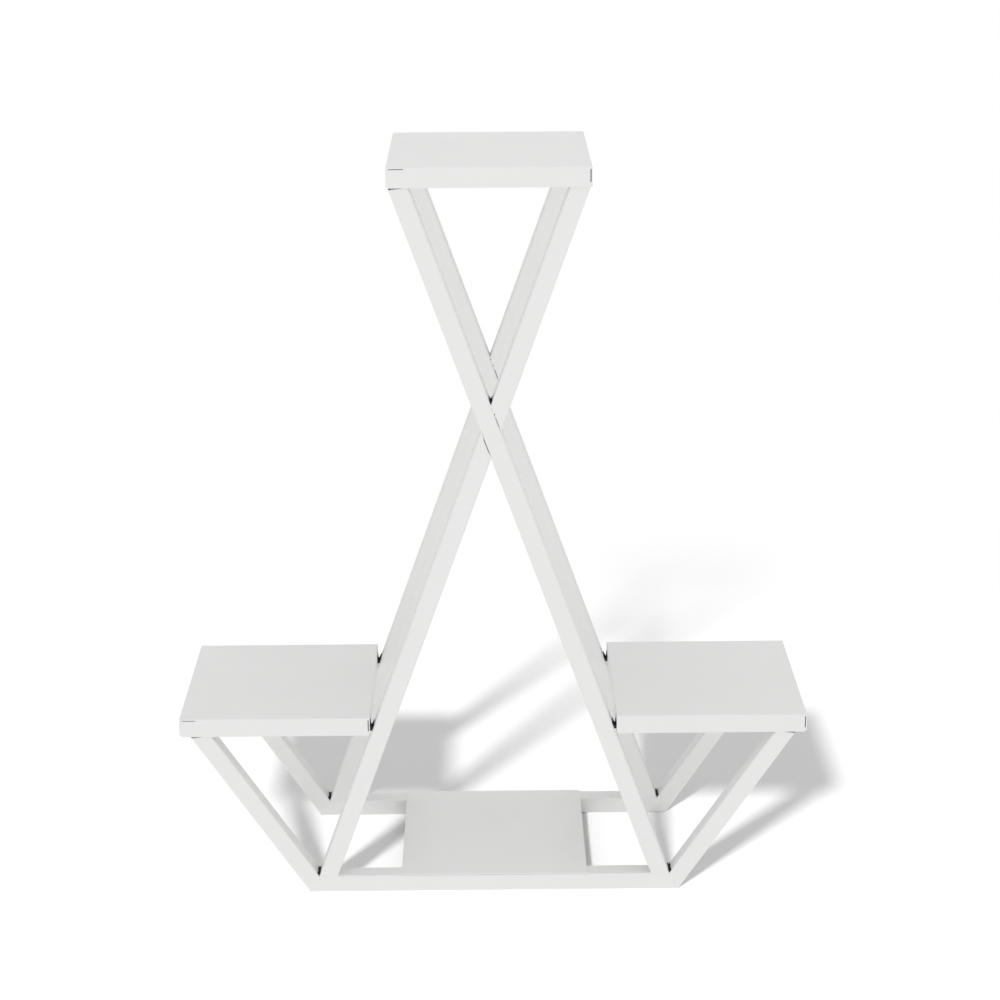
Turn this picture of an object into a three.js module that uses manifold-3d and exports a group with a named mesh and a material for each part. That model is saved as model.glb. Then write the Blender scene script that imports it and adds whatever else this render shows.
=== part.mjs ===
// A plant ladder stand: two flat frames of welded square steel tube, front and rear, joined by
// three folded sheet-steel shelves on the sides and top and one flat plate near the floor.
// Millimetres, +Z up, X across the stand, Y from front (negative) to rear.
// The origin is on the floor, in the middle of the stand.

import * as THREE from 'three';
import { mergeVertices } from 'three/addons/utils/BufferGeometryUtils.js';
import Module from 'manifold-3d';

// Square tube
const TUBE = 20; // outside width
const TUBE_WALL = 1.2;
const TUBE_CORNER = 1.8; // outside radius of its long edges

// Shelves
const SHELF = 210; // side of each square shelf
const SHEET = 1.2; // thickness of the sheet
const FOLD_RADIUS = 1.6; // outside radius of a fold
const SLIT_WIDTH = 1; // open slit where two lips meet at a corner
const SLIT_FROM_FOLD = 1.2; // sheet left between a slit and the fold above it
const TACK_HEIGHT = 5; // the corner tack that closes each slit at its foot
const LIP_CORNER_CUT = 2.4; // how far the lips' lower corners are eased

// The stand
const STAND_HEIGHT = 825; // floor to the top of the top shelf
const SIDE_SHELF_HEIGHT = 216; // floor to the top of the side shelves
const BASE_LENGTH = 418; // bottom rail along the floor, corner to corner
const STRUT_LEAN = THREE.MathUtils.degToRad(33); // struts lean out from upright

// Clearances
const JOINT_GAP = 0.3; // between two tubes that are welded end to side
const SHELF_GAP = 0.3; // between a shelf's lips and what stands inside them
const SHELF_SEAT = 0.1; // between a shelf's sheet and the rail under it
const LEG_SEAT = 0.8; // between a side shelf's lower inner corner and the leg
const WELD_FIT = 0.2; // between a weld bead and what it joins

// Weld beads
const BEAD_LEG = 4; // width of a fillet bead on each side
const BEAD_BULGE = 0.8; // how far its face swells
const BEAD_LENGTH = 28;
const BEAD_SPACING = 110; // between the middles of the two beads on a rail
const WEDGE_BEAD_HEIGHT = 6; // bead between a leg and a side shelf

// Fineness of the round edges, and how far rough lengths run past their cuts
const CORNER_STEPS = 4;
const OVERRUN = 2 * TUBE;
const CUTTER = 6 * TUBE;

// What follows from the sizes above
const lipDrop = SHEET + SHELF_SEAT + TUBE; // the lips end level with the underside of the rail inside
const frameDepth = SHELF - 2 * (SHEET + SHELF_GAP);
const frameOffset = frameDepth / 2 - TUBE / 2; // middle of the stand to the middle of a frame
const railReach = SHELF / 2 - SHEET - SHELF_GAP; // half of a rail inside a shelf
const topJoint = STAND_HEIGHT - lipDrop; // underside of the top rail
const sideJoint = SIDE_SHELF_HEIGHT - lipDrop; // underside of a side rail
const strutWidth = TUBE / Math.cos(STRUT_LEAN); // a strut's width along a level line
const mitreInner = BASE_LENGTH / 2 + TUBE * Math.tan(STRUT_LEAN) - strutWidth;

// A leg fills the room between the foot of one strut and the end of the top rail over the other
// side: a bar of the tube's width laid corner to corner in a box of this span and rise.
const legSpan = mitreInner - JOINT_GAP + railReach;
const legRise = topJoint - TUBE;
const legLean = Math.acos(TUBE / Math.hypot(legSpan, legRise)) - Math.atan2(legRise, legSpan);
const legWidth = TUBE / Math.cos(legLean);
const legOuterAt = (z) => mitreInner - JOINT_GAP - (z - TUBE) * Math.tan(legLean);
const legCentreAt = (z) => legOuterAt(z) - legWidth / 2;

const shelfInner = legOuterAt(sideJoint) + LEG_SEAT; // a side shelf's edge next to the leg
const sideShelfCentre = shelfInner + SHELF / 2;

const wasm = await Module();
wasm.setup();
const { Manifold, Mesh: SolidMesh } = wasm;

const powderCoat = { color: 0xe9e9e8, roughness: 0.42, metalness: 0 };

function solidOf(geometry) {
  const bare = geometry.clone();
  bare.deleteAttribute('normal');
  bare.deleteAttribute('uv');
  const merged = mergeVertices(bare, 1e-4);
  return new Manifold(new SolidMesh({
    numProp: 3,
    vertProperties: new Float32Array(merged.attributes.position.array),
    triVerts: new Uint32Array(merged.index.array),
  }));
}

function geometryOf(solid) {
  const mesh = solid.getMesh();
  const geometry = new THREE.BufferGeometry();
  geometry.setAttribute('position', new THREE.BufferAttribute(mesh.vertProperties, 3));
  geometry.setIndex(new THREE.BufferAttribute(mesh.triVerts, 1));
  geometry.computeVertexNormals();
  return geometry;
}

function piece(name, geometry) {
  const mesh = new THREE.Mesh(geometry, new THREE.MeshStandardMaterial(powderCoat));
  mesh.name = name;
  return mesh;
}

// A rectangle whose corners are rounded, drawn anticlockwise about its middle.
function roundedRectangle(width, height, radius, Outline = THREE.Shape) {
  const x = width / 2 - radius;
  const y = height / 2 - radius;
  const outline = new Outline();
  outline.absarc(x, y, radius, 0, Math.PI / 2);
  outline.absarc(-x, y, radius, Math.PI / 2, Math.PI);
  outline.absarc(-x, -y, radius, Math.PI, 1.5 * Math.PI);
  outline.absarc(x, -y, radius, 1.5 * Math.PI, 2 * Math.PI);
  outline.closePath();
  return outline;
}

// A point in a frame's own plane, which is upright and faces front.
const inFrame = (x, z) => new THREE.Vector3(x, 0, z);

// Everything on the far side of a plane through a point of the frame, for cutting a tube's end.
function farSide(point, away) {
  const outward = away.clone().normalize();
  const box = new THREE.BoxGeometry(CUTTER, CUTTER, CUTTER);
  box.translate(CUTTER / 2, 0, 0);
  box.applyQuaternion(new THREE.Quaternion().setFromUnitVectors(inFrame(1, 0), outward));
  box.translate(point.x, point.y, point.z);
  return solidOf(box);
}

// A length of square tube along a line of the frame, its ends cut by the given planes.
function cutTube(start, end, cuts) {
  const along = end.clone().sub(start);
  const length = along.length() + 2 * OVERRUN;
  along.normalize();
  const section = roundedRectangle(TUBE, TUBE, TUBE_CORNER);
  const bore = TUBE - 2 * TUBE_WALL;
  section.holes.push(roundedRectangle(bore, bore, TUBE_CORNER - TUBE_WALL, THREE.Path));
  const tube = new THREE.ExtrudeGeometry(section, {
    depth: length,
    bevelEnabled: false,
    curveSegments: CORNER_STEPS,
  });
  const depthwise = new THREE.Vector3(0, 1, 0);
  const across = depthwise.clone().cross(along);
  const turn = new THREE.Matrix4().makeBasis(across, depthwise, along);
  tube.translate(0, 0, -OVERRUN);
  tube.applyMatrix4(turn);
  tube.translate(start.x, start.y, start.z);
  const trimmed = cuts.reduce((solid, cut) => solid.subtract(farSide(...cut)), solidOf(tube));
  return geometryOf(trimmed);
}

const up = inFrame(0, 1);
const down = inFrame(0, -1);

// The bottom rail lies on the floor and is mitred to a strut at each end.
function bottomRail() {
  const reach = BASE_LENGTH / 2;
  const mitres = [-1, 1].map((side) => {
    const away = inFrame(side * TUBE, reach - mitreInner).normalize();
    const corner = inFrame(side * reach, 0).addScaledVector(away, -JOINT_GAP / 2);
    return [corner, away];
  });
  return cutTube(inFrame(-mitreInner, TUBE / 2), inFrame(mitreInner, TUBE / 2), mitres);
}

// A strut rises from the mitred floor corner to the underside of a side rail.
function strut(side) {
  const foot = inFrame(side * BASE_LENGTH / 2, 0);
  const centreAt = (z) =>
    inFrame(side * (BASE_LENGTH / 2 + z * Math.tan(STRUT_LEAN) - strutWidth / 2), z);
  const away = inFrame(-side * TUBE, mitreInner - BASE_LENGTH / 2).normalize();
  const mitre = [foot.addScaledVector(away, -JOINT_GAP / 2), away];
  const head = centreAt(sideJoint - JOINT_GAP);
  return cutTube(centreAt(TUBE / 2), head, [mitre, [head, up]]);
}

// The through leg runs unbroken from the top left to the bottom right.
const legFoot = TUBE + JOINT_GAP;
const legHead = topJoint - JOINT_GAP;
const throughAt = (z) => inFrame(legCentreAt(z), z);
const cutLegAt = (z) => inFrame(-legCentreAt(z), z);

function throughLeg() {
  const cuts = [[throughAt(legFoot), down], [throughAt(legHead), up]];
  return cutTube(throughAt(legFoot), throughAt(legHead), cuts);
}

// The other leg is two lengths, each butted against the side of the through leg.
const crossing = TUBE + (mitreInner - JOINT_GAP - legWidth / 2) / Math.tan(legLean);
const awayFromThroughLeg = inFrame(Math.cos(legLean), Math.sin(legLean));

function buttCut(side) {
  const reach = TUBE / 2 + JOINT_GAP;
  const face = throughAt(crossing).addScaledVector(awayFromThroughLeg, side * reach);
  return [face, awayFromThroughLeg.clone().multiplyScalar(-side)];
}

function cutLegUpper() {
  const cuts = [buttCut(1), [cutLegAt(legHead), up]];
  return cutTube(cutLegAt(crossing + TUBE), cutLegAt(legHead), cuts);
}

function cutLegLower() {
  const cuts = [buttCut(-1), [cutLegAt(legFoot), down]];
  return cutTube(cutLegAt(legFoot), cutLegAt(crossing - TUBE), cuts);
}

// A shelf rail lies inside a shelf, under its sheet, from lip to lip.
function shelfRail(centre, underside) {
  const z = underside + TUBE / 2;
  const ends = [-1, 1].map((side) => [inFrame(centre + side * railReach, z), inFrame(side, 0)]);
  return cutTube(ends[0][0], ends[1][0], ends);
}

function frame(name, y) {
  const group = new THREE.Group();
  group.position.y = y;
  group.add(
    piece(`${name}_bottom_rail`, bottomRail()),
    piece(`${name}_left_strut`, strut(-1)),
    piece(`${name}_right_strut`, strut(1)),
    piece(`${name}_through_leg`, throughLeg()),
    piece(`${name}_cut_leg_upper`, cutLegUpper()),
    piece(`${name}_cut_leg_lower`, cutLegLower()),
    piece(`${name}_left_shelf_rail`, shelfRail(-sideShelfCentre, sideJoint)),
    piece(`${name}_right_shelf_rail`, shelfRail(sideShelfCentre, sideJoint)),
    piece(`${name}_top_shelf_rail`, shelfRail(0, topJoint)),
  );
  return group;
}

// A block whose four upper edges are rounded, its top at z = 0.
function foldedBlock(width, height, radius) {
  const profile = new THREE.Shape();
  const x = width / 2 - radius;
  profile.moveTo(-width / 2, -height);
  profile.lineTo(width / 2, -height);
  profile.absarc(x, -radius, radius, 0, Math.PI / 2);
  profile.absarc(-x, -radius, radius, Math.PI / 2, Math.PI);
  profile.closePath();
  const options = { depth: width, bevelEnabled: false, curveSegments: CORNER_STEPS };
  const ridge = new THREE.ExtrudeGeometry(profile, options);
  ridge.translate(0, 0, -width / 2);
  ridge.rotateX(Math.PI / 2);
  const turned = ridge.clone().rotateZ(Math.PI / 2);
  return solidOf(ridge).intersect(solidOf(turned));
}

// A folded shelf, its top at z = 0: one sheet with a lip turned down on each side. Each lip runs
// on past the next one at its right-hand corner, and an open slit with a tack at its foot is left.
function foldedShelf() {
  const skin = foldedBlock(SHELF, lipDrop, FOLD_RADIUS);
  const hollow = foldedBlock(SHELF - 2 * SHEET, 2 * lipDrop, FOLD_RADIUS - SHEET);
  let shelf = skin.subtract(hollow.translate([0, 0, -SHEET]));

  const slitTop = -FOLD_RADIUS - SLIT_FROM_FOLD;
  const slitFoot = -lipDrop + TACK_HEIGHT;
  const slit = new THREE.BoxGeometry(SLIT_WIDTH, 2 * FOLD_RADIUS + SHEET, slitTop - slitFoot);
  slit.translate(
    SHELF / 2 - SHEET - SLIT_WIDTH / 2,
    -SHELF / 2 - FOLD_RADIUS + SHEET / 2,
    (slitTop + slitFoot) / 2,
  );
  const lowerCorner = new THREE.Vector3(SHELF / 2, -SHELF / 2, -lipDrop);
  const easing = farSide(
    lowerCorner.clone().add(new THREE.Vector3(0, 0, LIP_CORNER_CUT)),
    new THREE.Vector3(1, -1, -1),
  );
  for (let corner = 0; corner < 4; corner += 1) {
    const turn = [0, 0, 90 * corner];
    shelf = shelf.subtract(solidOf(slit).rotate(turn)).subtract(easing.rotate(turn));
  }
  return geometryOf(shelf);
}

function bottomPlate() {
  const plate = new THREE.BoxGeometry(SHELF, frameDepth, SHEET);
  plate.translate(0, 0, -SHEET / 2);
  return plate;
}

function shelves() {
  const group = new THREE.Group();
  const plateTop = TUBE + SHELF_SEAT + SHEET;
  const places = [
    ['top_shelf', foldedShelf(), 0, STAND_HEIGHT],
    ['left_shelf', foldedShelf(), -sideShelfCentre, SIDE_SHELF_HEIGHT],
    ['right_shelf', foldedShelf(), sideShelfCentre, SIDE_SHELF_HEIGHT],
    ['bottom_shelf', bottomPlate(), 0, plateTop],
  ];
  for (const [name, geometry, x, z] of places) {
    const shelf = piece(name, geometry);
    shelf.position.set(x, 0, z);
    group.add(shelf);
  }
  return group;
}

// A fillet bead along X, in the corner under a shelf's sheet and against a rail's inner wall.
// Its corner is at the origin, and it reaches towards +Y and -Z.
function filletBead() {
  const near = WELD_FIT;
  const far = WELD_FIT + BEAD_LEG;
  const crown = WELD_FIT + BEAD_LEG / 2 + BEAD_BULGE;
  const profile = new THREE.Shape();
  profile.moveTo(near, -near);
  profile.lineTo(near, -far);
  profile.quadraticCurveTo(crown, -crown, far, -near);
  profile.closePath();
  const options = { depth: BEAD_LENGTH, bevelEnabled: false, curveSegments: 2 * CORNER_STEPS };
  const bead = new THREE.ExtrudeGeometry(profile, options);
  bead.translate(0, 0, -BEAD_LENGTH / 2);
  bead.applyMatrix4(new THREE.Matrix4().makeBasis(
    new THREE.Vector3(0, 1, 0),
    new THREE.Vector3(0, 0, 1),
    new THREE.Vector3(1, 0, 0),
  ));
  return bead;
}

// Two beads on each rail hold a shelf. The rear ones face the front ones.
function shelfBeads() {
  const group = new THREE.Group();
  const corners = [
    ['top', 0, STAND_HEIGHT - SHEET],
    ['left', -sideShelfCentre, SIDE_SHELF_HEIGHT - SHEET],
    ['right', sideShelfCentre, SIDE_SHELF_HEIGHT - SHEET],
    ['bottom', 0, TUBE + SHELF_SEAT],
  ];
  const innerWall = frameOffset - TUBE / 2;
  for (const [shelf, x, z] of corners) {
    for (const [frameName, side] of [['front', -1], ['rear', 1]]) {
      for (const [number, step] of [[1, -1], [2, 1]]) {
        const bead = piece(`${frameName}_${shelf}_shelf_weld_${number}`, filletBead());
        bead.position.set(x + step * BEAD_SPACING / 2, side * innerWall, z);
        bead.rotation.z = side > 0 ? Math.PI : 0;
        group.add(bead);
      }
    }
  }
  return group;
}

// A bead fills the foot of the narrow wedge between a leg and the lip of a side shelf.
function wedgeBead(side) {
  const fitAcross = WELD_FIT / Math.cos(legLean);
  const low = sideJoint;
  const high = sideJoint + WEDGE_BEAD_HEIGHT;
  const profile = new THREE.Shape([
    new THREE.Vector2(legOuterAt(low) + fitAcross, low),
    new THREE.Vector2(shelfInner - WELD_FIT, low),
    new THREE.Vector2(shelfInner - WELD_FIT, high),
    new THREE.Vector2(legOuterAt(high) + fitAcross, high),
  ]);
  const bead = new THREE.ExtrudeGeometry(profile, { depth: TUBE, bevelEnabled: false });
  bead.translate(0, 0, -TUBE / 2);
  bead.rotateX(Math.PI / 2);
  if (side < 0) bead.rotateZ(Math.PI);
  return bead;
}

function legBeads() {
  const group = new THREE.Group();
  for (const [frameName, y] of [['front', -frameOffset], ['rear', frameOffset]]) {
    for (const [shelf, side] of [['left', -1], ['right', 1]]) {
      const bead = piece(`${frameName}_${shelf}_leg_weld`, wedgeBead(side));
      bead.position.y = y;
      group.add(bead);
    }
  }
  return group;
}

const stand = new THREE.Group();
stand.add(
  frame('front', -frameOffset),
  frame('rear', frameOffset),
  shelves(),
  shelfBeads(),
  legBeads(),
);

export default stand;
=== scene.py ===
import math

import bpy
from mathutils import Matrix, Vector


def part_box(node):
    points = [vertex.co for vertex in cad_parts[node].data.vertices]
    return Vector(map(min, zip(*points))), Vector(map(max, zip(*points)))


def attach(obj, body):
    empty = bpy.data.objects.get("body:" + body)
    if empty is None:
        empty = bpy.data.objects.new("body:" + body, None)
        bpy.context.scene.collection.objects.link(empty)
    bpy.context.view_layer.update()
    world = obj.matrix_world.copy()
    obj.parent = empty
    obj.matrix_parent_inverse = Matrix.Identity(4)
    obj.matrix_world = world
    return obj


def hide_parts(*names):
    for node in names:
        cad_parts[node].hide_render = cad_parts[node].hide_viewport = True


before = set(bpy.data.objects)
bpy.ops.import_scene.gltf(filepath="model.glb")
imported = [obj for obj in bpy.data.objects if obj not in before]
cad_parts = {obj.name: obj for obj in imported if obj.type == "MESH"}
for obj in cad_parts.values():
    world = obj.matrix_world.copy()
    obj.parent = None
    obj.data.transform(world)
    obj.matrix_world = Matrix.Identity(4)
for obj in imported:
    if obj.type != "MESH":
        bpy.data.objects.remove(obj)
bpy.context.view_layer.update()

# Bottom rails: two lengths of 20 mm square steel tube that lie on the floor, front and rear.
# Their ends are sawn to a mitre for the struts. The whole stand is powder coated matt white
# after welding, so the coat lies on every tube, sheet and bead.

FRAMES = ("front", "rear")
SIDES = (("left", -1), ("right", 1))
RIGHT = Vector((1, 0, 0))
REAR = Vector((0, 1, 0))
UP = Vector((0, 0, 1))

rail_low, rail_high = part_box("front_bottom_rail")
TUBE = rail_high.z - rail_low.z
TUBE_WALL = 0.0012
TUBE_CORNER = 0.0018
CORNER_SEGMENTS = 6
SAWN_EDGE = 0.00015  # how far the coat rounds the edges that the saw leaves
EDGE_SEGMENTS = 2
EASED_ABOVE = math.radians(40)  # edges that turn by more than this are rounded
SMOOTH_BELOW = math.radians(32)  # faces that meet at less than this are shaded as one
SQUARE_ON = 0.999  # the cosine above which a face or an edge points exactly one way
FACING = 0.9  # the cosine above which a face points roughly one way

COAT_WHITE = (0.80, 0.80, 0.795)
COAT_SHINE = 0.25
COAT_ROUGHNESS = 0.6
PATCHY, GRAINY = 0.09, 0.05  # how much the roughness varies with the patches and the grain
CLOUD_SCALE, PATCH_SCALE, PEEL_SCALE, GRAIN_SCALE = 9, 34, 230, 900  # all per metre
MOTTLE = 0.04  # how much the shade varies with the clouds and the patches
CLOUD_SHARE = 0.6  # how much of that is from the clouds
PEEL_OVER_GRAIN = 2.2  # how much higher the orange peel stands than the grain

# Near-black bare steel, also used as painted shade in notches, pits, slits and gaps.
SCALE_AND_SHADE_BLACK = (0.035, 0.034, 0.033)
SCALE_SHINE = 0.2
SCALE_GRAIN = 420  # per metre
SCALE_SHADE = (0.6, 0.8)  # the least, and what the grain adds
SCALE_ROUGHNESS = (0.55, 0.3)
SCALE_RELIEF = 0.00004


class Socket:
    """One value or colour in a material, for writing its maths as expressions."""

    def __init__(self, tree, link):
        self.tree = tree
        self.link = link

    def _maths(self, operation, *values):
        return add_node(self.tree, "ShaderNodeMath", {"operation": operation}, *values)

    def __add__(self, other):
        return self._maths("ADD", self, other)

    def __radd__(self, other):
        return self._maths("ADD", other, self)

    def __sub__(self, other):
        return self._maths("SUBTRACT", self, other)

    def __rsub__(self, other):
        return self._maths("SUBTRACT", other, self)

    def __mul__(self, other):
        return self._maths("MULTIPLY", self, other)

    def __rmul__(self, other):
        return self._maths("MULTIPLY", other, self)


def add_node(tree, kind, settings, *values, output=0, **named):
    """Adds a node, sets it, then fills its sockets by place or by name. Returns one output."""
    node = tree.nodes.new(kind)
    for name, value in settings.items():
        setattr(node, name, value)
    for key, value in [*enumerate(values), *named.items()]:
        socket = node.inputs[key.replace("_", " ") if isinstance(key, str) else key]
        if isinstance(value, Socket):
            tree.links.new(value.link, socket)
        else:
            socket.default_value = value
    return Socket(tree, node.outputs[output])


def surface_finish(name, colour, shine, pattern):
    """A material whose pattern makes shade, roughness and relief in metres out of noise."""
    material = bpy.data.materials.new(name)
    material.use_nodes = True
    tree = material.node_tree
    shader = tree.nodes["Principled BSDF"]
    place = add_node(tree, "ShaderNodeTexCoord", {}, output="Object")

    def noise(scale, detail):
        return add_node(tree, "ShaderNodeTexNoise", {}, Vector=place, Scale=scale, Detail=detail)

    shade, roughness, relief = pattern(noise)
    tint = add_node(tree, "ShaderNodeVectorMath", {"operation": "SCALE"}, colour, Scale=shade)
    bump = add_node(tree, "ShaderNodeBump", {}, Strength=1, Distance=1, Height=relief)
    for socket, value in (("Base Color", tint), ("Roughness", roughness), ("Normal", bump)):
        tree.links.new(value.link, shader.inputs[socket])
    shader.inputs["Specular IOR Level"].default_value = shine
    return material


def powder_coat(name, peel, waves):
    """Matt powder coat: fine orange peel over the slight unevenness of what is under it."""

    def pattern(noise):
        clouds = noise(CLOUD_SCALE, detail=2)
        patches = noise(PATCH_SCALE, detail=3)
        orange_peel = noise(PEEL_SCALE, detail=2)
        grain = noise(GRAIN_SCALE, detail=2)
        mottle = clouds * CLOUD_SHARE + patches * (1 - CLOUD_SHARE)
        shade = 1 - (mottle - 0.5) * MOTTLE
        roughness = COAT_ROUGHNESS + (patches - 0.5) * PATCHY + (grain - 0.5) * GRAINY
        relief = grain * peel + orange_peel * (peel * PEEL_OVER_GRAIN) + clouds * waves
        return shade, roughness, relief

    return surface_finish(name, COAT_WHITE, COAT_SHINE, pattern)


def bare_steel_and_shade(noise):
    """Dark, scaly, dull bare steel, also used as painted shade in deep notches, pits, slits and
    gaps.
    """
    grain = noise(SCALE_GRAIN, detail=4)
    shade, roughness = (least + grain * span for least, span in (SCALE_SHADE, SCALE_ROUGHNESS))
    return shade, roughness, grain * SCALE_RELIEF


coated_tube = powder_coat("white_coat_on_tube", peel=0.0000032, waves=0.00002)
# Also painted shade: the vees in the notches, the spots on the seams, and what shows in gaps.
scale_and_painted_shade = surface_finish("scale_and_painted_shade", SCALE_AND_SHADE_BLACK, SCALE_SHINE, bare_steel_and_shade)


def start_block(middle, size, lean=0):
    """Adds a block at its size and place, leaning to the right, and selects it alone."""
    bpy.ops.object.select_all(action="DESELECT")
    bpy.ops.mesh.primitive_cube_add(size=1, location=middle, rotation=(0, lean, 0), scale=size)
    bpy.ops.object.transform_apply(location=True, rotation=True, scale=True)
    return bpy.context.object


def choose(piece, kind, wanted):
    """In edit mode, selects only the edges or the polygons for which wanted is true."""
    bpy.ops.object.mode_set(mode="OBJECT")
    mesh = piece.data
    for group in (mesh.polygons, mesh.edges, mesh.vertices):
        group.foreach_set("select", [False] * len(group))
    for item in getattr(mesh, kind):
        item.select = wanted(item)
    bpy.ops.object.mode_set(mode="EDIT")
    bpy.ops.mesh.select_mode(type={"edges": "EDGE", "polygons": "FACE"}[kind])


def facing(way):
    """A test for choose: whether a face points exactly this way."""
    return lambda face: face.normal.dot(way) > SQUARE_ON


def edge_line(piece, edge):
    """Which way an edge runs."""
    start, end = (piece.data.vertices[i].co for i in edge.vertices)
    return (end - start).normalized()


def cut_at(point, away, **options):
    """In edit mode, cuts what is selected along a plane."""
    bpy.ops.mesh.bisect(plane_co=point, plane_no=away, **options)


def apply_modifier(piece, kind, **settings):
    """Gives the active piece a modifier and applies it."""
    modifier = piece.modifiers.new(kind, kind)
    for name, value in settings.items():
        setattr(modifier, name, value)
    bpy.ops.object.modifier_apply(modifier=modifier.name)


def ease_edges(piece, width):
    """Rounds every sharp edge, as a coat of powder does."""
    apply_modifier(
        piece,
        "BEVEL",
        width=width,
        segments=EDGE_SEGMENTS,
        limit_method="ANGLE",
        angle_limit=EASED_ABOVE,
        use_clamp_overlap=True,
    )


def finish_piece(piece, name, slot, material, *nodes):
    """Names, shades and coats a finished piece, and lets it stand for its CAD nodes."""
    piece.name = name
    piece.data.name = name
    bpy.ops.object.shade_smooth_by_angle(angle=SMOOTH_BELOW)
    # The full weight keeps the large faces looking flat, right up to their rounded edges.
    apply_modifier(piece, "WEIGHTED_NORMAL", keep_sharp=True, weight=100)
    piece.data.materials.append(material)
    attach(piece, "root")
    if nodes:
        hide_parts(*nodes)


def square_tube(node, middle, length, lean, cuts):
    """A length of tube that leans to the right, sawn along planes, each a point and a way out."""
    tube = start_block(middle, (TUBE, TUBE, length), lean)
    along = Vector((math.sin(lean), 0, math.cos(lean)))
    choose(tube, "edges", lambda edge: abs(edge_line(tube, edge).dot(along)) > SQUARE_ON)
    bpy.ops.mesh.bevel(offset=TUBE_CORNER, segments=CORNER_SEGMENTS, affect="EDGES")
    choose(tube, "polygons", lambda face: abs(face.normal.dot(along)) > SQUARE_ON)
    bpy.ops.mesh.delete(type="FACE")
    bpy.ops.object.mode_set(mode="OBJECT")
    apply_modifier(tube, "SOLIDIFY", thickness=TUBE_WALL, offset=-1, use_even_offset=True)
    bpy.ops.object.mode_set(mode="EDIT")
    for point, away in cuts:
        bpy.ops.mesh.select_all(action="SELECT")
        cut_at(point, away, use_fill=True, clear_outer=True)
    bpy.ops.object.mode_set(mode="OBJECT")
    ease_edges(tube, SAWN_EDGE)
    finish_piece(tube, f"{node}_tube", "coated_tube", coated_tube, node)
    # Sawn faces get the near-black steel: bare where tube meets tube, painted shade in the gaps.
    tube.data.materials.append(scale_and_painted_shade)
    for face in tube.data.polygons:
        sawn = any(
            face.normal.dot(away) > FACING and abs((face.center - point).dot(away)) < SAWN_EDGE
            for point, away in cuts
        )
        face.material_index = 1 if sawn else 0
    return tube


def frame_middle(name):
    """How far behind the middle of the stand a frame's middle plane lies."""
    low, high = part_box(f"{name}_bottom_rail")
    return (low.y + high.y) / 2


def mirrored(vector, side):
    """The same vector for the right side of the stand, or its mirror image for the left."""
    return Vector((side * vector.x, vector.y, vector.z))


strut_low, strut_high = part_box("front_right_strut")
floor_corner = rail_high.x  # where a rail's mitre meets the floor
inner_corner = strut_low.x  # where it ends at the top of the rail
mitre_away = Vector((TUBE, 0, floor_corner - inner_corner)).normalized()
mitre_foot = Vector((floor_corner, 0, 0))
ROUGH_CUT = 2 * TUBE  # spare length for the saw to take off

for name in FRAMES:
    square_tube(
        f"{name}_bottom_rail",
        (0, frame_middle(name), TUBE / 2),
        2 * floor_corner + ROUGH_CUT,
        math.pi / 2,
        [(mirrored(mitre_foot, side), mirrored(mitre_away, side)) for _, side in SIDES],
    )

# Struts: four lengths of the same tube that lean outwards from the ends of the bottom rails and
# carry the side shelves. Each is mitred to its rail and sawn level under its shelf's rail, with
# the outer part of its head sawn a little low, so that a gap shows under the lip, made dark by
# the near-black sawn face: painted shade.

strut_height = strut_high.z
strut_lean = math.atan2(strut_high.x - floor_corner, strut_height)
strut_width = TUBE / math.cos(strut_lean)
strut_length = strut_height / math.cos(strut_lean)
strut_head = Vector((strut_high.x - strut_width / 2, 0, strut_height))
strut_line = Vector((math.sin(strut_lean), 0, math.cos(strut_lean)))
JOINT_GAP = 0.0003  # left between two tubes where they meet
OFF_LEVEL = math.radians(6)


def at_depth(point, name):
    """The same point in the middle plane of a frame."""
    return Vector((point.x, frame_middle(name), point.z))


def off_level_cut(head, width, side):
    """Where and which way the saw goes low: through all of a head but its inner quarter."""
    off_level_up = Vector((math.sin(OFF_LEVEL), 0, math.cos(OFF_LEVEL)))
    return head - RIGHT * (side * width / 4), mirrored(off_level_up, side)


for name in FRAMES:
    for word, side in SIDES:
        foot = mirrored(mitre_foot + mitre_away * JOINT_GAP, side)
        head = mirrored(strut_head, side)
        square_tube(
            f"{name}_{word}_strut",
            at_depth(mirrored(strut_head - strut_line * strut_length / 2, side), name),
            strut_length + 2 * ROUGH_CUT,
            side * strut_lean,
            [
                (foot, -mirrored(mitre_away, side)),
                (head, UP),
                off_level_cut(head, strut_width, side),
            ],
        )

# Through legs: one unbroken tube in each frame, from the top left of the stand down to the right
# end of the bottom rail. Its foot is sawn level and welded onto that rail. Its head is welded
# under the top shelf's rail, and its outer part is sawn low like a strut's.

through_low, through_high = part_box("front_through_leg")
leg_rise = through_high.z - through_low.z
leg_span = through_high.x - through_low.x
leg_lean = math.acos(TUBE / math.hypot(leg_span, leg_rise)) - math.atan2(leg_rise, leg_span)
leg_width = TUBE / math.cos(leg_lean)
leg_line = Vector((-math.sin(leg_lean), 0, math.cos(leg_lean)))
leg_foot = Vector((through_high.x - leg_width / 2, 0, through_low.z))
leg_head = Vector((through_low.x + leg_width / 2, 0, through_high.z))

for name in FRAMES:
    square_tube(
        f"{name}_through_leg",
        at_depth((leg_foot + leg_head) / 2, name),
        (leg_head - leg_foot).length + 2 * ROUGH_CUT,
        -leg_lean,
        [(leg_foot, -UP), (leg_head, UP), off_level_cut(leg_head, leg_width, -1)],
    )

# Cut legs: the other leg of each frame is two tubes in line, each butted against a side of the
# through leg where the two cross, and sawn level at the floor rail or under the top rail.

crossing = leg_foot - leg_line * (leg_foot.x / leg_line.x)
butt_away = Vector((math.cos(leg_lean), 0, math.sin(leg_lean)))
cut_line = mirrored(leg_line, -1)
cut_foot = mirrored(leg_foot, -1)
cut_head = mirrored(leg_head, -1)

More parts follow.
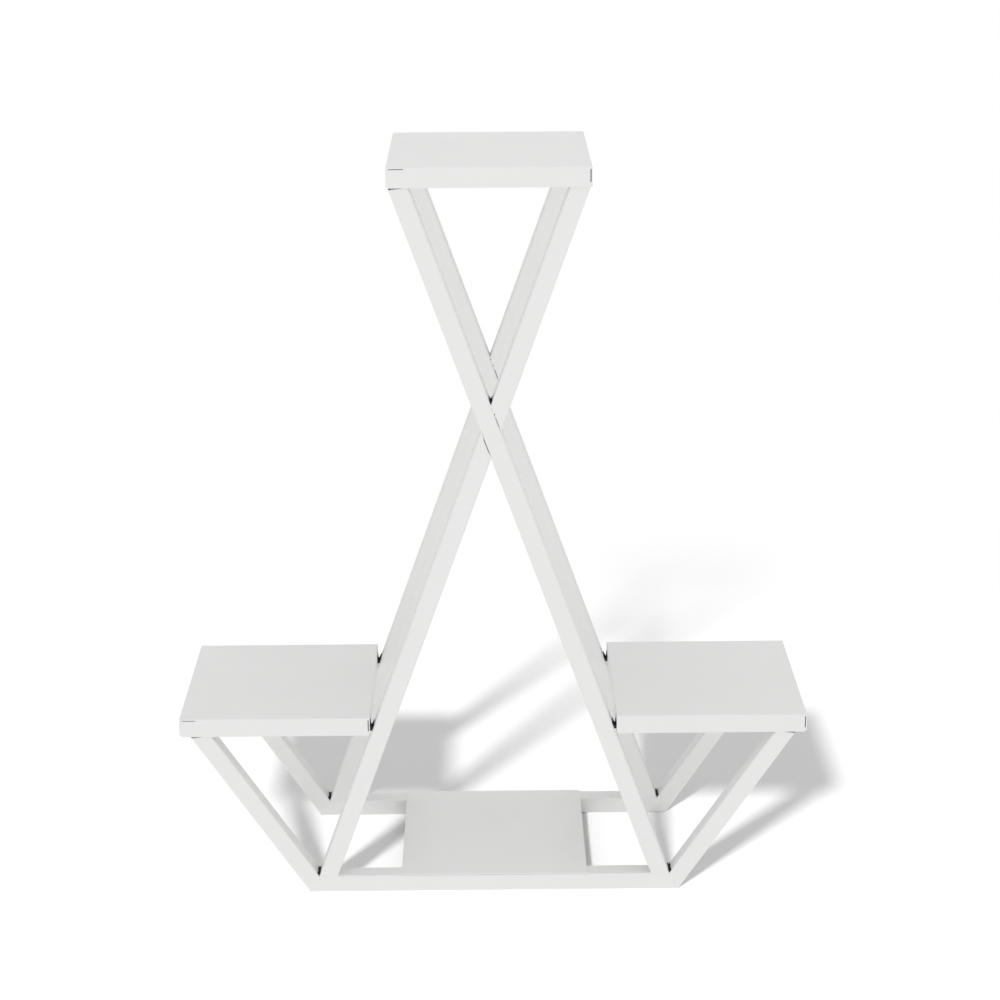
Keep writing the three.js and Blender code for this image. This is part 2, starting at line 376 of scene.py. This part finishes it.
for name in FRAMES:
    for word, end, away, side in (("upper", cut_head, UP, 1), ("lower", cut_foot, -UP, -1)):
        butt = crossing + butt_away * (side * (TUBE / 2 + JOINT_GAP))
        square_tube(
            f"{name}_cut_leg_{word}",
            at_depth((crossing + end) / 2, name),
            (end - crossing).length + 2 * ROUGH_CUT,
            leg_lean,
            [(butt, -side * butt_away), (end, away)],
        )

# Shelf rails: a level length of tube inside each folded shelf, front and rear, from lip to lip.
# They carry the sheet, and the heads of the struts and legs are welded under them. The faces
# that the sheet covers are near-black bare steel, which is painted shade where the slits show it.

for name in FRAMES:
    for shelf in ("left", "right", "top"):
        node = f"{name}_{shelf}_shelf_rail"
        low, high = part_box(node)
        rail = square_tube(
            node,
            (low + high) / 2,
            high.x - low.x + ROUGH_CUT,
            math.pi / 2,
            [(low, -RIGHT), (high, RIGHT)],
        )
        outwards = REAR if low.y > 0 else -REAR
        # Covered faces get the near-black steel: bare under the sheet, painted shade in the slits.
        for face in rail.data.polygons:
            if max(face.normal.dot(outwards), face.normal.z) > FACING:
                face.material_index = 1

# Folded shelves: three square trays of thin sheet steel, face down, with a lip turned down on
# each side. The lips meet in an open slit at each corner, closed at its foot by a ground tack.

SHEET = 0.0012
FOLD_RADIUS = 0.0016
FOLD_SEGMENTS = 6
SLIT_WIDTH = 0.001
SLIT_FROM_TOP = 0.0028
TACK_HEIGHT = 0.005
SPLIT_START, SPLIT_END = 0.003, 0.018  # a fine split under one end of the front and rear folds
SPLIT_WIDTH = 0.0009
LIP_CORNER_CUT = 0.0024
SHEET_MERGE = 0.00001  # points nearer than this are one

coated_sheet = powder_coat("white_coat_on_sheet", peel=0.0000028, waves=0.00009)


def folded_shelf(node, has_splits):
    """A tray folded from one sheet, with a slit at each corner and perhaps a split in two folds."""
    low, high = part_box(node)
    middle = (low + high) / 2
    half = (high.x - low.x) / 2
    slit_top, slit_foot = high.z - SLIT_FROM_TOP, low.z + TACK_HEIGHT
    shelf = start_block(middle, high - low)
    choose(shelf, "polygons", facing(-UP))
    bpy.ops.mesh.delete(type="FACE")
    corners = shelf.data.vertices
    choose(shelf, "edges", lambda edge: all(corners[i].co.z > middle.z for i in edge.vertices))
    bpy.ops.mesh.bevel(offset=FOLD_RADIUS, segments=FOLD_SEGMENTS, affect="EDGES")
    for quarter in range(4):
        turn = Matrix.Rotation(quarter * math.pi / 2, 3, "Z")
        out, along = turn @ -REAR, turn @ RIGHT
        on_lip = facing(out)
        lip = middle + out * half
        slit_end = lip + along * (half - SHEET)
        slit_start = slit_end - along * SLIT_WIDTH

        def in_slit(face):
            return on_lip(face) and 0 < (face.center - slit_start).dot(along) < SLIT_WIDTH

        for point in (slit_start, slit_end):
            choose(shelf, "polygons", on_lip)
            cut_at(point, along)
        for z in (slit_top, slit_foot):
            choose(shelf, "polygons", in_slit)
            cut_at((lip.x, lip.y, z), UP)
        choose(
            shelf,
            "polygons",
            lambda face: in_slit(face) and slit_foot < face.center.z < slit_top,
        )
        bpy.ops.mesh.delete(type="FACE")
        if has_splits and quarter % 2 == 0:
            fold = Vector((lip.x, lip.y, high.z - FOLD_RADIUS))
            start = fold - along * (half - SPLIT_START)
            end = fold - along * (half - SPLIT_END)
            for point, away in ((fold - UP * SPLIT_WIDTH, UP), (start, along), (end, along)):
                choose(shelf, "polygons", on_lip)
                cut_at(point, away)
            choose(
                shelf,
                "polygons",
                lambda face: on_lip(face)
                and fold.z - SPLIT_WIDTH < face.center.z < fold.z
                and 0 < (face.center - start).dot(along) < SPLIT_END - SPLIT_START,
            )
            bpy.ops.mesh.delete(type="FACE")
        bpy.ops.mesh.select_all(action="SELECT")
        corner = middle + (out + along) * half
        cut_at(
            (corner.x, corner.y, low.z + LIP_CORNER_CUT),
            (out + along - UP).normalized(),
            clear_outer=True,
        )
    bpy.ops.object.mode_set(mode="OBJECT")
    apply_modifier(shelf, "SOLIDIFY", thickness=SHEET, offset=-1, use_even_offset=True)
    bpy.ops.object.mode_set(mode="EDIT")
    bpy.ops.mesh.select_all(action="SELECT")
    bpy.ops.mesh.remove_doubles(threshold=SHEET_MERGE)
    bpy.ops.object.mode_set(mode="OBJECT")
    finish_piece(shelf, f"{node}_sheet", "coated_sheet", coated_sheet, node)


for node, has_splits in (("top_shelf", True), ("left_shelf", True), ("right_shelf", False)):
    folded_shelf(node, has_splits)

# Bottom shelf: one flat plate of the same sheet, laid across the two bottom rails. Its corners
# are eased and the coat rounds its sheared edges.

PLATE_CORNER = 0.001
PLATE_CORNER_SEGMENTS = 4
SHEARED_EDGE = 0.0003

low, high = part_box("bottom_shelf")
plate = start_block((low + high) / 2, high - low)
choose(plate, "edges", lambda edge: abs(edge_line(plate, edge).z) > SQUARE_ON)
bpy.ops.mesh.bevel(offset=PLATE_CORNER, segments=PLATE_CORNER_SEGMENTS, affect="EDGES")
bpy.ops.object.mode_set(mode="OBJECT")
ease_edges(plate, SHEARED_EDGE)
finish_piece(plate, "bottom_shelf_plate", "coated_sheet", coated_sheet, "bottom_shelf")

# Weld beads: short fillets laid by hand, with overlapping ripples, which hold the shelves to
# their rails from below. They are coated with the rest.

coated_weld = powder_coat("white_coat_on_weld", peel=0.000004, waves=0.00003)

BEAD_STATIONS = 72
BEAD_SIDES = 14
BEAD_MERGE = 0.000002  # points nearer than this are one
RIPPLE_PITCH = 0.0016
RIPPLE_DEPTH = 0.1
RIPPLE_BOW = 0.0006  # how far a ripple bows along the bead on its way round
CROWN = 1.16  # a fillet's face bulges past the straight line between its legs, which is 1
END_SIZE = 0.35  # how large a fillet is where it starts and stops
END_LENGTH = 1.2  # how many of its legs it takes to reach its full size


def bead(name, nodes, place, slot="coated_weld", material=coated_weld):
    """A closed bead whose surface is place(u, v): u along it and v once round it, both 0 to 1."""
    bpy.ops.object.select_all(action="DESELECT")
    bpy.ops.mesh.primitive_grid_add(
        size=1, x_subdivisions=BEAD_STATIONS, y_subdivisions=BEAD_SIDES
    )
    piece = bpy.context.object
    for vertex in piece.data.vertices:
        vertex.co = place(vertex.co.x + 0.5, vertex.co.y + 0.5)
    bpy.ops.object.mode_set(mode="EDIT")
    bpy.ops.mesh.select_all(action="SELECT")
    bpy.ops.mesh.remove_doubles(threshold=BEAD_MERGE)
    bpy.ops.mesh.fill_holes(sides=0)
    bpy.ops.mesh.select_all(action="SELECT")
    bpy.ops.mesh.normals_make_consistent(inside=False)
    bpy.ops.object.mode_set(mode="OBJECT")
    finish_piece(piece, name, slot, material, *nodes)


def ripple(distance):
    """The overlapping ridges that a hand-laid bead freezes in, from 0 to 1."""
    return abs(math.sin(math.pi * distance / RIPPLE_PITCH))


def round_section(v):
    """A point on a circle one unit across, in the corner of two axes."""
    angle = 2 * math.pi * v
    return 0.5 + 0.5 * math.cos(angle), 0.5 + 0.5 * math.sin(angle)


def fillet_bead(node):
    """A fillet under a shelf or a plate, in the corner that this makes with its rail."""
    low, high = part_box(node)
    length = high.x - low.x
    leg = min(high.y - low.y, high.z - low.z)
    corner_y, inwards = (low.y, 1) if low.y < 0 else (high.y, -1)

    def place(u, v):
        across, drop = round_section(v)
        end = min(u, 1 - u) * length / leg
        swell = END_SIZE + (1 - END_SIZE) * math.sin(min(1, end / END_LENGTH) * math.pi / 2)
        ridge = ripple(u * length + RIPPLE_BOW * (1 - across))
        size = leg * swell * (1 - RIPPLE_DEPTH + RIPPLE_DEPTH * ridge)
        if across + drop > CROWN:
            size *= CROWN / (across + drop)
        return Vector(
            (low.x + u * length, corner_y + inwards * across * size, high.z - drop * size)
        )

    bead(f"{node}_bead", [node], place)


for name in FRAMES:
    for shelf in ("top", "left", "right", "bottom"):
        for number in (1, 2):
            fillet_bead(f"{name}_{shelf}_shelf_weld_{number}")

# Leg beads: one in the foot of the narrow wedge between each leg and the lip of its side shelf,
# laid flush with the frame's faces and coated.

SETBACK = 0.0004  # how far a bead in a wedge or a notch lies behind the faces beside it
WEDGE_FILL = 1.2  # above 1, the bead's round section is cut off flat at its top
WEDGE_SAG = 0.22  # how far that top is hollowed
SAG_RIPPLE = 0.25  # how much of the hollow comes and goes with the ripples


def leg_outer(z, side):
    """Where the outer face of a leg is at a height, on the left or the right of the stand."""
    return side * (leg_foot.x + leg_width / 2 - (z - leg_foot.z) * math.tan(leg_lean))


def leg_bead(node, side):
    """A bead between a leg and a lip, on the left or the right of the stand."""
    low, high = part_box(node)
    depth = high.y - low.y - 2 * SETBACK
    lip = high.x if side > 0 else low.x

    def place(u, v):
        across, rise = round_section(v)
        hollow = WEDGE_SAG * (1 + SAG_RIPPLE * ripple(u * depth))
        sag = hollow * math.sin(math.pi * across) * rise
        z = low.z + (high.z - low.z) * (min(1, rise * WEDGE_FILL) - sag)
        leg = leg_outer(z, side)
        return Vector((leg + (lip - leg) * across, low.y + SETBACK + u * depth, z))

    bead(f"{node}_bead", [node], place)


for name in FRAMES:
    for word, side in SIDES:
        leg_bead(f"{name}_{word}_leg_weld", side)

# Ground seams: the welds where tube meets tube, at the mitres, the legs' feet and the crossings,
# filed down almost flush before coating. At the crossings they stop short, and leave a fine open
# crack on the front of each joint, with small near-black spots on the weld above it: painted
# shade for pits.

SEAM_WIDTH = 0.0024
SEAM_HEIGHT = 0.00012
SEAM_DEPTH = 0.0006
GRIND_UNEVEN = 0.25  # how much a seam's width and height vary with the filing
GRIND_WAVES = (41, 17)  # the two rates, in radians over its length, at which they do
FADE_FROM, FADE_RATE = 0.15, 12  # how small an open seam is at its ends, and how soon it grows
# Where a crossing's seams start and end, in turns round the tube. The last quarter of a turn is
# the tube's front face, and what the two leave open lies on it.
UPPER_SEAM = (0.878, 1.79)
LOWER_SEAM = (0.9375, 1.8125)
WHOLE_TURN = (0, 1)
PINHOLE = 0.0006
PINHOLE_BULGE = 0.12
PINHOLES = {"front": (0.0044,), "rear": (0.0059, 0.0133)}  # how far up the joint from its middle


def round_square(turns):
    """A point and its outward direction, so many turns round the section of a tube."""
    flat = TUBE / 2 - TUBE_CORNER
    arc = math.pi * TUBE_CORNER / 2
    quarter, part = divmod((turns % 1) * 4, 1)
    step = part * (2 * flat + arc)
    if step < arc / 2:
        bend = -math.pi / 4 + step / TUBE_CORNER
        point, out = (flat, -flat), (math.cos(bend), math.sin(bend))
    elif step < arc / 2 + 2 * flat:
        point, out = (flat, step - arc / 2 - flat), (1, 0)
    else:
        bend = (step - arc / 2 - 2 * flat) / TUBE_CORNER
        point, out = (flat, flat), (math.cos(bend), math.sin(bend))
    point = Vector((point[0] + out[0] * TUBE_CORNER, point[1] + out[1] * TUBE_CORNER, 0))
    spin = Matrix.Rotation(quarter * math.pi / 2, 3, "Z")
    return spin @ point, spin @ Vector((*out, 0))


def seam(name, centre, along, plane, start, end):
    """A ground seam round a tube where it meets a joint's plane, between two turns round it."""
    across = along.cross(REAR)
    closed = end - start >= 1

    def place(u, v):
        spot, out = round_square(start + (end - start) * (u % 1 if closed else u))
        normal = across * out.x + REAR * out.y
        point = centre + across * spot.x + REAR * spot.y
        point -= along * ((point - centre).dot(plane) / along.dot(plane))
        angle = 2 * math.pi * v
        fade = 1 if closed else min(1, FADE_FROM + FADE_RATE * min(u, 1 - u))
        fast, slow = (rate * u for rate in GRIND_WAVES)
        size = fade * (1 + GRIND_UNEVEN * math.sin(fast) * math.sin(slow + 1))
        lift = math.sin(angle)
        lift *= SEAM_HEIGHT * size if lift > 0 else SEAM_DEPTH
        point = point + along * (SEAM_WIDTH / 2 * size * math.cos(angle)) + normal * lift
        return Vector((point.x, point.y, max(point.z, 0)))

    bead(name, [], place)


def painted_pit_shade(name, centre):
    """A small flat disc of the near-black steel on a ground seam: painted shade for a pit in the
    weld.
    """

    def place(u, v):
        ring, turn = math.pi * u, 2 * math.pi * v
        reach = math.sin(ring) * PINHOLE
        bulge = -PINHOLE_BULGE * PINHOLE * math.cos(ring)
        return centre + Vector((reach * math.cos(turn), bulge, reach * math.sin(turn)))

    bead(name, [], place, slot=None, material=scale_and_painted_shade)


mitre_middle = Vector(((floor_corner + inner_corner) / 2, 0, TUBE / 2))
joint_reach = (TUBE + JOINT_GAP) / 2 / cut_line.dot(butt_away)
for name in FRAMES:
    for word, side in SIDES:
        seam(
            f"{name}_{word}_mitre_seam",
            at_depth(mirrored(mitre_middle, side), name),
            RIGHT,
            mirrored(mitre_away, side),
            *WHOLE_TURN,
        )
    for word, foot, line in (("right", leg_foot, leg_line), ("left", cut_foot, cut_line)):
        seam(f"{name}_{word}_foot_seam", at_depth(foot, name), line, UP, *WHOLE_TURN)
    for word, side, turns, pits in (
        ("upper", 1, UPPER_SEAM, PINHOLES[name]),
        ("lower", -1, LOWER_SEAM, ()),
    ):
        joint = at_depth(crossing + cut_line * (side * joint_reach), name)
        seam(f"{name}_crossing_{word}_seam", joint, cut_line, butt_away, *turns)
        for number, up_joint in enumerate(pits, start=1):
            pit = joint + leg_line * up_joint - REAR * (TUBE / 2 + SEAM_HEIGHT)
            painted_pit_shade(f"{name}_crossing_pinhole_{number}", pit)

# Roots: a near-black vee in the bottom of each tight notch between two tubes, or a tube and
# a lip, just behind the faces: painted shade where the notch is too deep and narrow for light.

NOTCH_SHADE_REACH = 0.0065
CROSSING_SHADE_REACH = 0.0085
LIP_SHADE_REACH = 0.018
ROOT_HOLLOW = 0.72
HOLLOW_SHARPNESS = 0.3
ROUGH_WAVES = ((0.07, 11, 0), (0.04, 27, 2))  # each a size, a rate and a start


def root(name, notch, one_way, other_way, reach):
    """A vee of painted shade in a notch: filled at its bottom, and thin further up along both
    faces.
    """
    depth = TUBE - 4 * SETBACK

    def place(u, v):
        rough = 1 + sum(size * math.sin(rate * u + start) for size, rate, start in ROUGH_WAVES)
        eighths = 8 * v
        if eighths < 1:
            spot = one_way * eighths
        elif eighths < 7:
            across = (eighths - 1) / 6
            hollow = 1 - ROOT_HOLLOW * math.sin(math.pi * across) ** HOLLOW_SHARPNESS
            spot = one_way.lerp(other_way, across) * hollow
        else:
            spot = other_way * (8 - eighths)
        spot = spot * (reach * rough)
        return Vector((notch.x + spot.x, notch.y - depth / 2 + u * depth, notch.z + spot.z))

    bead(name, [], place, slot=None, material=scale_and_painted_shade)


top_notch = crossing + UP * (leg_width / 2 / math.tan(leg_lean))
root("front_crossing_painted_shade", at_depth(top_notch, "front"), cut_line, leg_line, CROSSING_SHADE_REACH)
for name in FRAMES:
    for word, side in SIDES:
        outwards = mirrored(strut_line, side)
        inwards = mirrored(leg_line, side)
        foot_notch = at_depth(mirrored(Vector((inner_corner, 0, TUBE)), side), name)
        root(f"{name}_{word}_notch_painted_shade", foot_notch, outwards, inwards, NOTCH_SHADE_REACH)
        low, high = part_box(f"{name}_{word}_leg_weld")
        lip_notch = at_depth(Vector((high.x if side > 0 else low.x, 0, low.z)), name)
        root(f"{name}_{word}_lip_painted_shade", lip_notch, UP, inwards, LIP_SHADE_REACH)

# Floor: a plain white studio floor that throws its light back up at the stand and takes its
# shadow. Towards the back, for the camera and in reflections, it turns into a plain white glow:
# painted light, which washes out the far part of the shadow.

FLOOR_SIZE = 60
FLOOR_WHITE = (0.8, 0.8, 0.8, 1)
PURE_WHITE = (1, 1, 1, 1)
WASH_START, WASH_END = 0.3, 1.1  # how far behind the middle of the stand


def seen_ray(tree):
    """1 for a ray from the camera, a reflection or glass, and 0 for light that falls on things."""
    camera, glossy, through = (
        add_node(tree, "ShaderNodeLightPath", {}, output=f"Is {kind} Ray")
        for kind in ("Camera", "Glossy", "Transmission")
    )
    return add_node(
        tree, "ShaderNodeMath", {"operation": "ADD", "use_clamp": True}, camera + glossy, through
    )


bpy.ops.object.select_all(action="DESELECT")
bpy.ops.mesh.primitive_plane_add(size=FLOOR_SIZE, location=(0, 0, 0))
floor = bpy.context.object
floor.name = "studio_floor"
studio_white = bpy.data.materials.new("studio_white")
studio_white.use_nodes = True
tree = studio_white.node_tree
tree.nodes.clear()
place = add_node(tree, "ShaderNodeTexCoord", {}, output="Object")
behind = add_node(tree, "ShaderNodeSeparateXYZ", {}, place, output="Y")
wash = add_node(
    tree,
    "ShaderNodeMapRange",
    {"interpolation_type": "SMOOTHSTEP"},
    behind,
    From_Min=WASH_START,
    From_Max=WASH_END,
)
lit = add_node(tree, "ShaderNodeBsdfDiffuse", {}, Color=FLOOR_WHITE)
# Further back, camera and reflected rays see a white glow in place of the lit floor: painted light.
painted_white_glow = add_node(tree, "ShaderNodeEmission", {}, Color=PURE_WHITE, Strength=1)
surface = add_node(tree, "ShaderNodeMixShader", {}, wash * seen_ray(tree), lit, painted_white_glow)
output = tree.nodes.new("ShaderNodeOutputMaterial")
tree.links.new(surface.link, output.inputs["Surface"])
floor.data.materials.append(studio_white)

# Light: a white room and wide soft boxes overhead and in front, which light the stand almost
# without shadows. A key from the front left lights the floor and draws the stand's shadow on it.

KEY_STRENGTH = 1.03 * math.pi
KEY_SOFTNESS = math.radians(6)
KEY_AZIMUTH = math.radians(17.5)
KEY_HEIGHT = math.radians(37.5)
AIM = Vector((0, 0, 0.5))
OVERHEAD_PLACE, OVERHEAD_WATTS, OVERHEAD_SIZE = Vector((0, -0.6, 5.2)), 59, 4
FRONT_PLACE, FRONT_WATTS, FRONT_SIZE = Vector((-0.3, -4.2, 1.0)), 20, (3.4, 1.4)
ROOM_STRENGTH = 0.69


def hang_lamp(name, kind, strength, place, way, on_floor):
    """Hangs a lamp that lights either the floor alone or all but the floor."""
    light = bpy.data.lights.new(name, kind)
    light.energy = strength
    lamp = bpy.data.objects.new(name, light)
    bpy.context.scene.collection.objects.link(lamp)
    lamp.location = place
    lamp.rotation_euler = way.to_track_quat("-Z", "Y").to_euler()
    receivers = bpy.data.collections.new(f"{name}_receivers")
    receivers.objects.link(floor)
    if not on_floor:
        receivers.collection_objects[0].light_linking.link_state = "EXCLUDE"
    lamp.light_linking.receiver_collection = receivers
    return light


key_way = Vector(
    (
        math.sin(KEY_AZIMUTH) * math.cos(KEY_HEIGHT),
        math.cos(KEY_AZIMUTH) * math.cos(KEY_HEIGHT),
        -math.sin(KEY_HEIGHT),
    )
)
key = hang_lamp("key", "SUN", KEY_STRENGTH, (0, 0, 0), key_way, on_floor=True)
key.angle = KEY_SOFTNESS

box_overhead = hang_lamp(
    "box_overhead", "AREA", OVERHEAD_WATTS, OVERHEAD_PLACE, AIM - OVERHEAD_PLACE, on_floor=False
)
box_overhead.size = OVERHEAD_SIZE

box_in_front = hang_lamp(
    "box_in_front", "AREA", FRONT_WATTS, FRONT_PLACE, AIM - FRONT_PLACE, on_floor=False
)
box_in_front.shape = "RECTANGLE"
box_in_front.size, box_in_front.size_y = FRONT_SIZE
box_in_front.use_shadow = False  # a plain fill

room = bpy.data.worlds.new("room")
bpy.context.scene.world = room
room.use_nodes = True
tree = room.node_tree
walls = tree.nodes["Background"].inputs
walls["Color"].default_value = PURE_WHITE
strength = seen_ray(tree) * (1 - ROOM_STRENGTH) + ROOM_STRENGTH
tree.links.new(strength.link, walls["Strength"])

# Camera: a long lens 2.3 m in front of the stand, a little above it and looking down, turned and
# tilted as in the photo.

CAMERA_PLACE = Vector((-0.00528, -2.3153, 1.23581))
CAMERA_YAW = math.radians(0.370)
CAMERA_PITCH = math.radians(19.140)
CAMERA_ROLL = math.radians(0.374)
FILM_WIDTH, LENS = 36, 79.2  # in millimetres
NEAREST, FURTHEST = 0.05, 100

camera = bpy.data.cameras.new("camera")
camera.sensor_width = FILM_WIDTH
camera.lens = LENS
camera.clip_start, camera.clip_end = NEAREST, FURTHEST
viewer = bpy.data.objects.new("camera", camera)
bpy.context.scene.collection.objects.link(viewer)
viewer.matrix_world = (
    Matrix.Translation(CAMERA_PLACE)
    @ Matrix.Rotation(-CAMERA_YAW, 4, "Z")
    @ Matrix.Rotation(math.pi / 2 - CAMERA_PITCH, 4, "X")
    @ Matrix.Rotation(-CAMERA_ROLL, 4, "Z")
)
bpy.context.scene.camera = viewer
bpy.context.scene.view_settings.view_transform = "Standard"
